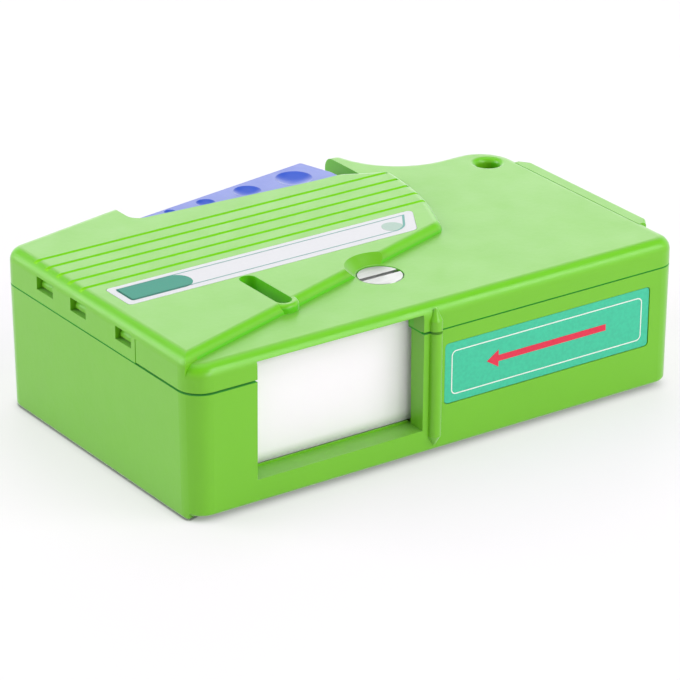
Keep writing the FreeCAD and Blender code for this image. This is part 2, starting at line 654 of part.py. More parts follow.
def thumb_lever():
    """A channel of two plates and an outer wall, with a barrel on the pivot pin."""
    outside = lever_plate(LEVER_Z0, LEVER_Z1)
    rims = edges_at(outside, LEVER_Z1) + edges_at(outside, LEVER_Z0)
    outside = outside.makeFillet(0.5, rims)
    room = plan([
        (20, lever_offset(20, LEVER_WALL), 0), (20, 50, 0), (90, 50, 0), (90, 71.2, 0),
        (79.0, 71.2, 0.5), (77.2, lever_offset(77.2, LEVER_WALL), 0.6),
    ], LEVER_Z0 + LEVER_PLATE, LEVER_Z1 - LEVER_PLATE)
    body = outside.cut(room)
    arm = plan([
        (24.5, 66.3, 0), (30.5, 66.6, 0), (36, 70.2, 0), (36, 72.3, 0), (31.5, 71.6, 0), (27, 69.9, 0), (24.5, 69.7, 0),
    ], 6.0, 20.0)
    barrel = rod(PIVOT, 3.1, 6.0, 20.0)
    ribs = [block(x, x + 1.4, lever_offset(x, 6.0), lever_offset(x, 0.6), LEVER_Z0 + 1, LEVER_Z1 - 1)
            for x in (44.0, 56.0, 68.0)]
    boss = rod(DRIVE_PIN, 2.0, LEVER_Z0 + 1, PAWL_Z0 - 0.2)
    seat = block(62.2, 64.8, 72.8, 77.0, LEVER_Z0 + 1, 6.6).cut(block(63.3, 63.8, 72.0, 75.3, 4.45, 9.0))
    body = body.fuse([arm, barrel, boss, seat] + ribs)
    cuts = [rod(PIVOT, PIVOT_PIN_R + 0.06, 0, 40), rod(DRIVE_PIN, 1.0, LEVER_Z0 + 0.6, 9)]
    for x, y, radius, depth in ((40.3, 71.6, 1.3, 0.5), (49.2, 71.7, 2.1, 0.7), (60.1, 72.4, 3.0, 0.9),
                                (72.4, 73.0, 4.0, 1.1)):
        ball = (radius ** 2 + depth ** 2) / (2 * depth)
        cuts.append(Part.makeSphere(ball, V(x, y, LEVER_Z1 - depth + ball)))
    return body.cut(cuts).removeSplitter()


def pivot_pin():
    pin = rod(PIVOT, PIVOT_PIN_R, 2.0, 32.8)
    return pin.makeChamfer(0.3, edges_at(pin, 32.8))


def lever_spring():
    """A torsion spring round the pivot pin, with one leg on the lever and one on the case."""
    wire_r, coil_r, pitch, turns, base = 0.35, 2.1, 1.0, 3.5, 21.0
    helix = Part.makeHelix(pitch, pitch * turns, coil_r)
    section = Part.makePolygon([V(coil_r + wire_r * math.cos(k * math.pi / 3), 0, wire_r * math.sin(k * math.pi / 3))
                                for k in range(7)])
    coil = Part.Wire(helix.Edges).makePipeShell([section], True, True)
    coil.rotate(V(0, 0, 0), V(0, 0, 1), -90)
    coil.translate(V(PIVOT.x, PIVOT.y, base))
    low, high = V(PIVOT.x, PIVOT.y - coil_r, base), V(PIVOT.x, PIVOT.y + coil_r, base + pitch * turns)
    leg_low = Part.makeCylinder(wire_r, 6.6, low, V(1, 0.35, 0))
    leg_high = Part.makeCylinder(wire_r, 5.6, high, V(-0.9, 0.42, 0))
    return coil.fuse([leg_low, leg_high])


# ---- coin lock ----
def coin_lock():
    """A slotted head on a shaft with a cross wing, a quarter-turn lock."""
    head = rod(LOCK, LOCK_HEAD_R, 31.75, ZONE_TOP - 0.05)
    head = head.makeChamfer(0.2, edges_at(head, ZONE_TOP - 0.05))
    shaft = rod(LOCK, 2.42, 22.2, 32.0)
    wing = block(LOCK.x - 4.2, LOCK.x + 4.2, LOCK.y - 1.2, LOCK.y + 1.2, 22.2, 24.3)
    wing = wing.common(rod(LOCK, 4.2, 20, 30))
    groove = tube(LOCK, 3.5, 1.9, 28.3, 29.1)
    slot = block(LOCK.x - 6, LOCK.x + 6, LOCK.y - 0.6, LOCK.y + 0.6, 32.25, 34)
    return head.fuse([shaft, wing]).cut([groove, slot]).removeSplitter()


def lock_clip():
    """The spring ring that keeps the lock in the cover."""
    ring = tube(LOCK, 3.9, 1.9, 28.4, 29.0)
    mouth = block(LOCK.x - 1.3, LOCK.x + 1.3, LOCK.y, LOCK.y + 5, 28, 30)
    return ring.cut(mouth)


# ---- labels ----
def front_label():
    """The printed plate set in the front recess."""
    edge = 0.15
    sketch = plan([
        (LABEL_X0 + edge, LABEL_Z0 + edge, 0.8), (LABEL_X1 - edge, LABEL_Z0 + edge, 0.8),
        (LABEL_X1 - edge, LABEL_Z1 - edge, 0.8), (LABEL_X0 + edge, LABEL_Z1 - edge, 0.8),
    ], 0, LABEL_T)
    sketch.rotate(V(0, 0, 0), V(1, 0, 0), 90)
    sketch.translate(V(0, 0.45, 0))
    return lean(sketch)


def sticker_plate(depth, margin):
    """The long label on the plateau, cut off at a slant on its right."""
    m = margin
    return plan([
        (5.1 - m, 30.4 - m, 0.9), (74.3 + m, 30.4 - m, 2.0), (79.7 + m, 39.8 + m, 0.9), (5.1 - m, 39.8 + m, 0.9),
    ], CASE_HEIGHT - depth, CASE_HEIGHT + (0.6 if margin else 0.02))


# ---- write every node ----
NODES = {
    "top_cover": top_cover,
    "bottom_case": bottom_case,
    "thumb_lever": thumb_lever,
    "lever_pivot_pin": pivot_pin,
    "lever_spring": lever_spring,
    "drive_pawl": drive_pawl,
    "drive_pawl_pin": lambda: rod(DRIVE_PIN, 1.0, LEVER_Z0 + 0.6, PAWL_Z1 + 1.8),
    "drive_pawl_spring": drive_pawl_spring,
    "back_stop_pawl": back_stop_pawl,
    "back_stop_pin": lambda: rod(BACK_STOP_PIN, 1.0, 3.6, PAWL_Z1 + 0.3),
    "back_stop_spring": back_stop_spring,
    "supply_reel": supply_reel,
    "supply_roll": lambda: tape_roll(SUPPLY, SUPPLY_ROLL_R),
    "supply_brake": supply_brake,
    "takeup_reel": takeup_reel,
    "takeup_roll": lambda: tape_roll(TAKEUP, TAKEUP_ROLL_R),
    "left_guide_roller": lambda: guide_roller(LEFT_GUIDE),
    "left_guide_pin": lambda: guide_pin(LEFT_GUIDE, 1.7),
    "right_guide_roller": lambda: guide_roller(RIGHT_GUIDE),
    "right_guide_pin": lambda: guide_pin(RIGHT_GUIDE, 3.6),
    "tape_span": tape_span,
    "backing_pad": backing_pad,
    "pad_holder": pad_holder,
    "coin_lock": coin_lock,
    "lock_clip": lock_clip,
    "front_label": front_label,
    "top_label": lambda: sticker_plate(0.25, 0),
}

for name, make in NODES.items():
    shape = make()
    shape.translate(V(-CENTRE.x, -CENTRE.y, 0))
    if not shape.isValid() or len(shape.Solids) != 1:
        print("CHECK", name, shape.isValid(), len(shape.Solids))
    box = shape.BoundBox
    print(f"{name:20s} {shape.Volume:9.1f} mm3  x {box.XMin:.2f} {box.XMax:.2f}  "
          f"y {box.YMin:.2f} {box.YMax:.2f}  z {box.ZMin:.2f} {box.ZMax:.2f}")
    shape.exportStep(f"parts/{name}.step")
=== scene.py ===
import bpy
import math
from mathutils import Matrix, Vector


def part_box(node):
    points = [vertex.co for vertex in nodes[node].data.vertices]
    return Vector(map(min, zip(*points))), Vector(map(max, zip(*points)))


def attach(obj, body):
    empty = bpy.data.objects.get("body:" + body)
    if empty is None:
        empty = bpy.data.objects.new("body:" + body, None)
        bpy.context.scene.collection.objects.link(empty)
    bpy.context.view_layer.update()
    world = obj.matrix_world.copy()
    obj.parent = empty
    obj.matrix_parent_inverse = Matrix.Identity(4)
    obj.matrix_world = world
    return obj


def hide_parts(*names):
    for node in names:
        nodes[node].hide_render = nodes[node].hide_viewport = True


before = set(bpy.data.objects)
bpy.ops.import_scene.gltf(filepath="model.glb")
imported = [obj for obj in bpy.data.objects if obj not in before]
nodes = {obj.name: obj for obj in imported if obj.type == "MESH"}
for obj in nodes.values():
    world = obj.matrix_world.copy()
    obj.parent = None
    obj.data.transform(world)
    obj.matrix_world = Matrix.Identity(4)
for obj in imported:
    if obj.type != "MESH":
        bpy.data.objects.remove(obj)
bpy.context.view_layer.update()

# ---- the room: bench, light tent, soft lamps and camera ----
# The cassette lies on a pale bench in a light tent, with one large soft lamp overhead and four
# round it. Glossy faces mirror the white walls and the dim ceiling, and a painted shadow darkens
# the bench where the case touches or overhangs it.
bpy.ops.object.select_all(action="DESELECT")
bpy.ops.mesh.primitive_plane_add(size=6, location=(0, 0, 0))
bench = bpy.context.object
bench.name = "bench"


def set_inputs(tree, node, inputs):
    """Fills a node's inputs, each with a value or with another node's output."""
    for key, value in inputs.items():
        socket = node.inputs[key]
        if isinstance(value, bpy.types.NodeSocket):
            tree.links.new(value, socket)
        elif socket.type == "RGBA":
            socket.default_value = (*value, 1)
        else:
            socket.default_value = value


def add_node(tree, kind, settings=None, inputs=None):
    """Adds one shader node with its settings and its inputs."""
    node = tree.nodes.new("ShaderNode" + kind)
    for key, value in (settings or {}).items():
        setattr(node, key, value)
    set_inputs(tree, node, inputs or {})
    return node


def reckon(tree, operation, *values):
    """One step of arithmetic on numbers and outputs."""
    return add_node(tree, "Math", {"operation": operation}, dict(enumerate(values))).outputs[0]


def rescale(tree, value, low, high, to_low=0.0, to_high=1.0, smooth=False):
    """Maps the range from low to high onto another, along a line or a smooth step."""
    settings = {"interpolation_type": "SMOOTHSTEP"} if smooth else {}
    ends = {"Value": value, "From Min": low, "From Max": high, "To Min": to_low, "To Max": to_high}
    return add_node(tree, "MapRange", settings, ends).outputs["Result"]


def mix_colours(tree, share, first, second, blend="MIX"):
    """The first colour with a share of the second."""
    settings = {"data_type": "RGBA", "blend_type": blend}
    colours = {"Factor": share, "A": first, "B": second}
    return add_node(tree, "Mix", settings, colours).outputs["Result"]


def new_material(name):
    """An empty material, its node tree and its main shader."""
    material = bpy.data.materials.new(name)
    material.use_nodes = True
    return material, material.node_tree, material.node_tree.nodes["Principled BSDF"]


bench_paint, bench_tree, bench_shader = new_material("bench_white")
# Painted shadow on the bench: a thin dark line where the case touches it and a softer shade where
# it overhangs, laid into the bench's colour and its white share.
contact_reach, overhang_reach = 0.0006, 0.003
painted_shadows = []
for reach, shut, clear, darkest in ((contact_reach, 0.45, 0.9, 0.2),
                                    (overhang_reach, 0.1, 0.85, 0.4)):
    sky = add_node(bench_tree, "AmbientOcclusion", {"samples": 12}, {"Distance": reach})
    painted_shadows.append(rescale(bench_tree, sky.outputs["AO"], shut, clear, darkest))
unshadowed = reckon(bench_tree, "MULTIPLY", *painted_shadows)
painted_shadow_colour, bare_paint = (0.30, 0.30, 0.30), (0.92, 0.87, 0.92)
set_inputs(bench_tree, bench_shader, {
    "Base Color": mix_colours(bench_tree, unshadowed, painted_shadow_colour, bare_paint),
    "Roughness": 0.6,
    "Specular IOR Level": 0.25,
})
bench_path = add_node(bench_tree, "LightPath").outputs
bench_seen = reckon(bench_tree, "MAXIMUM", bench_path["Is Camera Ray"], bench_path["Is Glossy Ray"])
bench_white_share = 0.55
bench_share = reckon(bench_tree, "MULTIPLY", bench_seen, bench_white_share)
bench_surface = add_node(bench_tree, "MixShader", {}, {
    "Fac": reckon(bench_tree, "MULTIPLY", bench_share, unshadowed),
    1: bench_shader.outputs[0],
    2: add_node(bench_tree, "Emission").outputs[0],
})
set_inputs(bench_tree, bench_tree.nodes["Material Output"], {"Surface": bench_surface.outputs[0]})
bench.data.materials.append(bench_paint)

scene = bpy.context.scene
scene.view_settings.view_transform = "Standard"
scene.world = bpy.data.worlds.new("light_tent")
scene.world.use_nodes = True
tent_tree = scene.world.node_tree
tent_light = tent_tree.nodes["Background"]
set_inputs(tent_tree, tent_light, {"Color": (0.46, 0.46, 0.47)})
tent_path = add_node(tent_tree, "LightPath").outputs
tent_direct = reckon(tent_tree, "MAXIMUM",
                     tent_path["Is Camera Ray"], tent_path["Is Transmission Ray"])
tent_seen = reckon(tent_tree, "MAXIMUM", tent_direct, tent_path["Is Glossy Ray"])
heading = add_node(tent_tree, "TexCoord").outputs["Generated"]
heading_up = add_node(tent_tree, "SeparateXYZ", {}, {0: heading}).outputs["Z"]
wall_top, ceiling_edge, ceiling_glow = 0.42, 0.62, 0.15
wall_glow = rescale(tent_tree, heading_up, wall_top, ceiling_edge, 1.0, ceiling_glow, smooth=True)
tent_wall = add_node(tent_tree, "Background", {}, {
    "Color": (1, 1, 1),
    "Strength": reckon(tent_tree, "MAXIMUM", wall_glow, tent_direct),
})
tent_mix = add_node(tent_tree, "MixShader", {}, {
    "Fac": tent_seen,
    1: tent_light.outputs[0],
    2: tent_wall.outputs[0],
})
set_inputs(tent_tree, tent_tree.nodes["World Output"], {"Surface": tent_mix.outputs[0]})

for lamp_name, lamp_place, aim_height, lamp_size, watts in (
        ("lamp_over", (0.15, 0.35, 1.3), 0.0, 1.1, 4.6),
        ("lamp_left", (-0.9, 0.7, 0.55), 0.01, 0.8, 8.0),
        ("lamp_front", (0.25, -1.2, 0.5), 0.01, 0.6, 5.2),
        ("lamp_right", (0.57, -0.64, 0.68), 0.01, 0.45, 3.4),
        ("lamp_back", (0.75, 1.1, 0.6), 0.02, 0.9, 3.2)):
    bpy.ops.object.light_add(type="AREA", location=lamp_place)
    lamp = bpy.context.object
    lamp.name = lamp_name
    lamp.data.size = lamp_size
    lamp.data.energy = watts
    lamp_aim = Vector((0, 0, aim_height)) - Vector(lamp_place)
    lamp.rotation_euler = lamp_aim.to_track_quat("-Z", "Y").to_euler()

bpy.ops.object.camera_add(location=(-0.41679, -0.6093, 0.3359))
camera = bpy.context.object
camera_right = Vector((0.82432, -0.56612, -0.00109))
camera_up = Vector((0.22914, 0.33189, 0.91507))
camera_turn = Matrix((camera_right, camera_up, camera_right.cross(camera_up))).transposed()
camera.rotation_euler = camera_turn.to_euler()
camera.data.lens = 205.71
camera.data.sensor_width = 36
camera.data.clip_start = 0.01
scene.camera = camera

# ---- the case: moulded bottom and top cover ----
# Two shells injection moulded in lime ABS with a light polish. The top cover drops onto the
# bottom's lips and snaps over three tongues on the left end. Painted light and shade are laid
# over the lime as tints: painted light on its rounded edges and grooves, painted shade on its
# inner walls, the horn's cut end and the joint.


def noise(tree, place, scale, detail, rough=0.5):
    """Cloudy noise at one place."""
    look = {"Vector": place, "Scale": scale, "Detail": detail, "Roughness": rough}
    return add_node(tree, "TexNoise", {}, look).outputs["Fac"]


def ramp(tree, value, *stops):
    """A colour for each value, from stops of a position and a colour in rising order."""
    node = add_node(tree, "ValToRGB", {}, {"Fac": value})
    bands = node.color_ramp.elements
    bands[0].position, bands[1].position = stops[0][0], stops[1][0]
    for position, _ in stops[2:]:
        bands.new(position)
    for band, (_, colour) in zip(bands, stops):
        band.color = (*colour, 1)
    return node.outputs["Color"]


def mottled(tree, value, low, high, colour, mottle):
    """One colour that wavers by a share of itself."""
    darker = [c * (1 - mottle) for c in colour]
    lighter = [min(1, c * (1 + mottle)) for c in colour]
    return ramp(tree, value, (low, darker), (high, lighter))


def relief(tree, height, strength, distance):
    """Fine relief in the way that light meets the surface."""
    look = {"Height": height, "Strength": strength, "Distance": distance}
    return add_node(tree, "Bump", {}, look).outputs["Normal"]


def moulded(name, colour, rough, sheen=0.0, grain=0.4, mottle=0.02):
    """Moulded plastic: flow marks in its colour, an orange-peel skin and handling marks."""
    material, tree, shader = new_material(name)
    place = add_node(tree, "TexCoord").outputs["Object"]
    flow = noise(tree, place, 38, 4)
    scuff = noise(tree, place, 140, 6, 0.7)
    peel = noise(tree, place, 900, 3)
    set_inputs(tree, shader, {
        "Base Color": mottled(tree, flow, 0.3, 0.7, colour, mottle),
        "Roughness": rescale(tree, scuff, 0.3, 0.75, rough - 0.05, rough + 0.08),
        "Normal": relief(tree, peel, grain, 0.00006),
        "IOR": 1.53,
        "Sheen Weight": sheen,
        "Sheen Roughness": 0.3,
    })
    return material


def lay_over(tree, shader, mask, colour):
    """Lays one more colour over a material's own where a mask says so."""
    own = shader.inputs["Base Color"].links[0].from_socket
    set_inputs(tree, shader, {"Base Color": mix_colours(tree, mask, own, colour)})


def dress(material, *names):
    """Gives a material to whole pieces."""
    for name in names:
        for material_slot in nodes[name].material_slots:
            material_slot.material = material


lime = moulded("lime_abs", (0.155, 0.50, 0.006), 0.34, sheen=1.0, grain=0.2)
lime_tree = lime.node_tree
lime_shader = lime_tree.nodes["Principled BSDF"]
lime_place = add_node(lime_tree, "TexCoord").outputs["Object"]
lime_at = add_node(lime_tree, "SeparateXYZ", {}, {0: lime_place}).outputs
lime_normal = add_node(lime_tree, "NewGeometry").outputs["Normal"]
lime_facing = add_node(lime_tree, "SeparateXYZ", {}, {0: lime_normal}).outputs
cover_low, cover_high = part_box("top_cover")
cover_middle = (cover_low + cover_high) / 2


def where(operation, *values):
    """One mask of the lime material: 1 where it holds and 0 elsewhere."""
    return reckon(lime_tree, operation, *values)


def all_of(first, *others):
    """Holds where every one of the masks does."""
    for other in others:
        first = where("MULTIPLY", first, other)
    return first


# The five grooves run forward from the rearmost at one pitch, sunk just under the plateau.
# Painted light gives them a lighter, purer green.
rear_groove, groove_pitch, groove_half = cover_low.y + 0.0617, 0.00439, 0.14
rows = where("DIVIDE", where("SUBTRACT", lime_at["Y"], rear_groove), groove_pitch)
groove = all_of(where("LESS_THAN", where("PINGPONG", rows, 0.5), groove_half),
                where("COMPARE", rows, -2, 2.4),
                where("COMPARE", lime_at["Z"], cover_high.z - 0.0003, 0.00027))

# A painted shade darkens the joint between the shells to a thin line of purer green all round.
joint_height, joint_half = 0.02735, 0.00016
joint_shade = where("COMPARE", lime_at["Z"], joint_height, joint_half)

# The horn's cut end faces left over the lever's notch, with a painted shade of purer green.
horn_end = all_of(where("GREATER_THAN", lime_at["X"], cover_middle.x),
                  where("GREATER_THAN", lime_at["Y"], cover_middle.y),
                  where("LESS_THAN", lime_facing["X"], -0.8))

# The upright walls inside the cover's outline: the slot, the plateau's foot and the dish.
# A painted shade of purer green lies on them.
side_margin = 0.004
wall_middle_y, wall_half_y = cover_low.y + 0.03, 0.025
inner_wall = all_of(
    where("LESS_THAN", where("ABSOLUTE", lime_facing["Z"]), 0.35),
    where("COMPARE", lime_at["X"], cover_middle.x, cover_high.x - cover_middle.x - side_margin),
    where("COMPARE", lime_at["Y"], wall_middle_y, wall_half_y),
    where("GREATER_THAN", lime_at["Z"], 0.0278))


def distance_from(tree, place, point):
    """Distance of each place on the piece from one point."""
    return add_node(tree, "VectorMath", {"operation": "DISTANCE"},
                    {0: place, 1: point}).outputs["Value"]


# Painted light: every rounded edge gets a lighter, purer green where it faces partly upwards,
# less so in the lock's dish.
black, white = (0, 0, 0), (1, 1, 1)
partly_up = ramp(lime_tree, lime_facing["Z"],
               (0.25, black), (0.72, white), (0.93, white), (0.985, black))
lock_low, lock_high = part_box("coin_lock")
lock_top = ((lock_low.x + lock_high.x) / 2, (lock_low.y + lock_high.y) / 2, lock_high.z)
dish_r, dish_edge = 0.0075, 0.0095
off_dish = rescale(lime_tree, distance_from(lime_tree, lime_place, lock_top),
                   dish_r, dish_edge, 0.25, 1.0, smooth=True)
painted_edge_light = where("MULTIPLY", partly_up, off_dish)

for mask, tint in ((painted_edge_light, (0.155, 0.59, 0.001)),
                   (inner_wall, (0.11, 0.57, 0.001)),
                   (groove, (0.22, 0.68, 0.001)),
                   (horn_end, (0.11, 0.52, 0.002)),
                   (joint_shade, (0.002, 0.40, 0.001))):
    lay_over(lime_tree, lime_shader, mask, tint)
groove_rough = 0.9
lime_gloss = add_node(lime_tree, "Mix", {}, {
    "Factor": where("MAXIMUM", groove, joint_shade),
    "A": lime_shader.inputs["Roughness"].links[0].from_socket,
    "B": groove_rough,
})
set_inputs(lime_tree, lime_shader, {"Roughness": lime_gloss.outputs["Result"]})
dress(lime, "top_cover", "bottom_case")

# ---- the two reels, their wound tape and the brake blade ----
# White acetal reels run on the case's posts. The cloth tape is wound on their hubs in even
# turns, and a bent strip of spring steel rubs the supply reel's rim.
acetal_white = moulded("acetal_white", (0.80, 0.80, 0.77), 0.45)
dress(acetal_white, "supply_reel", "takeup_reel")


def tape_weave(name, colour, across, along):
    """Fine microfibre weave on the piece's UV map, with a slight shade between its threads."""
    material, tree, shader = new_material(name)
    flat = add_node(tree, "UVMap").outputs["UV"]
    threads = []
    for direction, count in (("X", across), ("Y", along)):
        bands = {"wave_type": "BANDS", "bands_direction": direction, "wave_profile": "SIN"}
        look = {"Vector": flat, "Scale": count * math.pi / 10, "Distortion": 0.6, "Detail": 2}
        threads.append(add_node(tree, "TexWave", bands, look).outputs["Fac"])
    height = reckon(tree, "ADD", *threads)
    shade = rescale(tree, height, 0, 2, 0.97, 1.0)
    set_inputs(tree, shader, {
        "Base Color": mix_colours(tree, 1, colour, shade, "MULTIPLY"),
        "Normal": relief(tree, height, 0.25, 0.00003),
        "Roughness": 0.85,
        "Sheen Weight": 0.6,
        "Sheen Roughness": 0.5,
    })
    return material


def pick(piece):
    """Makes one piece the only selected and the active one."""
    bpy.ops.object.select_all(action="DESELECT")
    piece.select_set(True)
    bpy.context.view_layer.objects.active = piece


def edit(piece, vertices=None):
    """Enters edit mode with all of a piece selected, or the vertices that a test accepts."""
    pick(piece)
    bpy.ops.object.mode_set(mode="EDIT")
    bpy.ops.mesh.select_mode(type="VERT")
    bpy.ops.mesh.select_all(action="SELECT" if vertices is None else "DESELECT")
    if vertices is not None:
        bpy.ops.object.mode_set(mode="OBJECT")
        for v in piece.data.vertices:
            v.select = vertices(v.co)
        bpy.ops.object.mode_set(mode="EDIT")


def leave_edit():
    bpy.ops.object.mode_set(mode="OBJECT")


def settle(piece):
    """Puts a piece's place, turn and scale into its mesh."""
    pick(piece)
    bpy.ops.object.transform_apply(location=True, rotation=True, scale=True)


hub_r = 0.0085
turn_groove = 0.00009
roll_cloth = tape_weave("wound_tape_cloth", (0.86, 0.85, 0.86), 5000, 5000)

# Each roll is its section, grooved between the turns and spun round the reel's axis.
for roll_name, roll_node, roll_body, turns in (("supply_turns", "supply_roll", "supply", 46),
                                               ("takeup_turns", "takeup_roll", "takeup", 18)):
    roll_low, roll_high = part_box(roll_node)
    centre = (roll_low + roll_high) / 2
    outer_r, tall = (roll_high.x - roll_low.x) / 2, roll_high.z - roll_low.z
    wide = outer_r - hub_r
    step = wide / (2 * turns)
    inner_x, outer_x = centre.x + hub_r, centre.x + outer_r

    bpy.ops.mesh.primitive_grid_add(x_subdivisions=2 * turns, y_subdivisions=1, size=1)
    roll = bpy.context.object
    roll.name = roll_name
    roll.scale = (wide, tall, 1)
    roll.rotation_euler = (math.pi / 2, 0, 0)
    roll.location = (inner_x + wide / 2, centre.y, centre.z)
    settle(roll)
    for v in roll.data.vertices:
        if round((v.co.x - inner_x) / step) % 2 == 0:
            v.co.z += turn_groove if v.co.z < centre.z else -turn_groove

    edit(roll)
    bpy.ops.mesh.region_to_loop()
    bpy.ops.mesh.select_all(action="INVERT")
    bpy.ops.mesh.select_mode(type="EDGE")
    leave_edit()
    for e in roll.data.edges:
        a, b = (roll.data.vertices[i].co for i in e.vertices)
        upright_edge = (a - b).length > tall / 2
        e.select = upright_edge and inner_x + step / 2 < a.x < outer_x - step / 2
    bpy.ops.object.mode_set(mode="EDIT")
    bpy.ops.mesh.dissolve_edges(use_verts=False)
    bpy.ops.mesh.select_all(action="SELECT")
    bpy.ops.mesh.delete(type="ONLY_FACE")
    bpy.ops.mesh.select_all(action="SELECT")
    bpy.ops.mesh.spin(steps=72, angle=2 * math.pi, center=centre, axis=(0, 0, 1))
    bpy.ops.mesh.select_all(action="SELECT")
    bpy.ops.mesh.remove_doubles(threshold=1e-6)
    bpy.ops.mesh.normals_make_consistent(inside=False)
    bpy.ops.uv.cube_project(cube_size=1)
    leave_edit()
    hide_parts(roll_node)
    roll.data.materials.append(roll_cloth)
    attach(roll, roll_body)


def steel(name, colour, rough, stretch):
    """Bright steel with fine lines drawn along one axis."""
    material, tree, shader = new_material(name)
    place = add_node(tree, "TexCoord").outputs["Object"]
    drawn = add_node(tree, "Mapping", {}, {"Scale": stretch, "Vector": place}).outputs["Vector"]
    lines = noise(tree, drawn, 1, 5)
    set_inputs(tree, shader, {
        "Metallic": 1,
        "Base Color": colour,
        "Roughness": rescale(tree, lines, 0.3, 0.7, rough - 0.08, rough + 0.1),
        "Normal": relief(tree, lines, 0.3, 0.00003),
    })
    return material


strip_steel = steel("strip_steel", (0.55, 0.55, 0.56), 0.3, (900, 900, 9000))
dress(strip_steel, "supply_brake")

# ---- guide rollers on their steel pins ----
# Two waisted acetal rollers, free on ground pins pressed in the floor, turn the tape square to
# the window.
roller_acetal = moulded("roller_acetal", (0.82, 0.82, 0.80), 0.42)
dress(roller_acetal, "left_guide_roller", "right_guide_roller")
ground_steel = steel("ground_steel", (0.62, 0.62, 0.63), 0.25, (1200, 1200, 6000))
dress(ground_steel, "left_guide_pin", "right_guide_pin")

# ---- the pad holder and its foam pad ----
# A moulded holder stands behind the window and carries a firm pad of fine-celled foam. The
# pad's front edges are rounded, and its sides pull in a little.
dress(moulded("holder_grey", (0.32, 0.34, 0.34), 0.5, grain=0.5, mottle=0.03), "pad_holder")

pad_low, pad_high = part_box("backing_pad")
pad_middle, pad_size = (pad_low + pad_high) / 2, pad_high - pad_low
pad_edge_r, pad_crown, pad_pinch = 0.0006, 0.00012, 0.0002
bpy.ops.mesh.primitive_cube_add(size=1, location=pad_middle)
foam = bpy.context.object
foam.name = "foam_pad"
foam.scale = pad_size
settle(foam)
edit(foam, lambda co: co.y < pad_middle.y)
bpy.ops.mesh.bevel(offset=pad_edge_r, segments=4, affect="EDGES")
leave_edit()
edit(foam)
bpy.ops.mesh.subdivide(number_cuts=7)
leave_edit()
for v in foam.data.vertices:
    across = (v.co.x - pad_middle.x) / (pad_size.x / 2)
    upward = (v.co.z - pad_middle.z) / (pad_size.z / 2)
    front = (pad_high.y - v.co.y) / pad_size.y
    v.co.y += pad_crown * front * max(across ** 4, upward ** 4)
    pinch = pad_pinch * math.sin(math.pi * min(1, max(0, front)))
    v.co.x -= pinch * across ** 3
    v.co.z -= pinch * upward ** 3
foam.data.shade_smooth()

foam_rubber, foam_tree, foam_shader = new_material("foam_rubber")
foam_place = add_node(foam_tree, "TexCoord").outputs["Object"]
# Painted shade: each foam cell's colour darkens towards its sunken middle.
cells = add_node(foam_tree, "TexVoronoi", {}, {"Vector": foam_place, "Scale": 2600})
cell_depth = cells.outputs["Distance"]
set_inputs(foam_tree, foam_shader, {
    "Base Color": ramp(foam_tree, cell_depth, (0, (0.55, 0.55, 0.54)), (0.5, (0.74, 0.74, 0.73))),
    "Normal": relief(foam_tree, cell_depth, 0.6, 0.00008),
    "Roughness": 0.9,
})
foam.data.materials.append(foam_rubber)
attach(foam, "case")
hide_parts("backing_pad")

# ---- the cleaning tape in the window ----
# White microfibre tape, 22.8 mm wide and 0.2 mm thick, runs taut from the supply roll round the
# left roller, flat over the foam pad, round the right roller and on to the take-up roll.
tape_t = 0.0002
tape_low, tape_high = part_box("tape_span")
tape_width = tape_high.z - tape_low.z
tape_middle_z = (tape_low.z + tape_high.z) / 2


def touching_run(c0, r0, c1, r1):
    """Ends of the straight run that touches two circles, both on its left."""
    gap = c1 - c0
    bearing = math.atan2(gap.y, gap.x) - math.acos((r0 - r1) / gap.length)
    side = Vector((math.cos(bearing), math.sin(bearing)))
    return c0 + side * r0, c1 + side * r1


stops = []
for stop_node, stop_clearance in (("supply_roll", 0.000425), ("left_guide_roller", 0.000325),
                                  ("right_guide_roller", 0.000325), ("takeup_roll", 0.000425)):
    stop_low, stop_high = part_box(stop_node)
    stop_centre = ((stop_low + stop_high) / 2).to_2d()
    stops.append((stop_centre, (stop_high.x - stop_low.x) / 2 + stop_clearance))
runs = [touching_run(*stops[i], *stops[i + 1]) for i in range(3)]
route = []
for i, (start, end) in enumerate(runs):
    route.append(("run", start, end, (end - start).length))
    if i < 2:
        bend_centre, bend_r = stops[i + 1]
        leaves = runs[i + 1][0]
        turn = -(end - bend_centre).angle_signed(leaves - bend_centre) % (2 * math.pi)
        route.append(("bend", bend_centre, end, bend_r * turn))
tape_length = sum(leg[3] for leg in route)


def on_route(distance):
    """The point of the tape's route at one distance from its start."""
    for leg in route:
        kind, first, second, length = leg
        if distance <= length or leg is route[-1]:
            if kind == "run":
                return first.lerp(second, distance / length)
            arm = second - first
            return first + Matrix.Rotation(distance / arm.length, 2) @ arm
        distance -= length


def finish_with(piece, kind, **settings):
    """Adds one modifier and applies it."""
    pick(piece)
    bpy.ops.object.modifier_add(type=kind)
    modifier = piece.modifiers[-1]
    for key, value in settings.items():
        setattr(modifier, key, value)
    bpy.ops.object.modifier_apply(modifier=modifier.name)


bpy.ops.mesh.primitive_grid_add(x_subdivisions=420, y_subdivisions=10, size=1)
tape = bpy.context.object
tape.name = "cleaning_tape"
tape.scale = (tape_length, tape_width, 1)
settle(tape)
for v in tape.data.vertices:
    point = on_route(min(tape_length, max(0, v.co.x + tape_length / 2)))
    v.co = Vector((point.x, point.y, v.co.y + tape_middle_z))
edit(tape)
bpy.ops.mesh.normals_make_consistent(inside=False)
leave_edit()
finish_with(tape, "SOLIDIFY", thickness=tape_t, offset=0)
tape.data.shade_smooth()
thread_pitch = 0.0002
tape.data.materials.append(tape_weave("tape_cloth", (0.95, 0.915, 0.945),
                                      tape_length / thread_pitch, tape_width / thread_pitch))
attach(tape, "case")
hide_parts("tape_span")

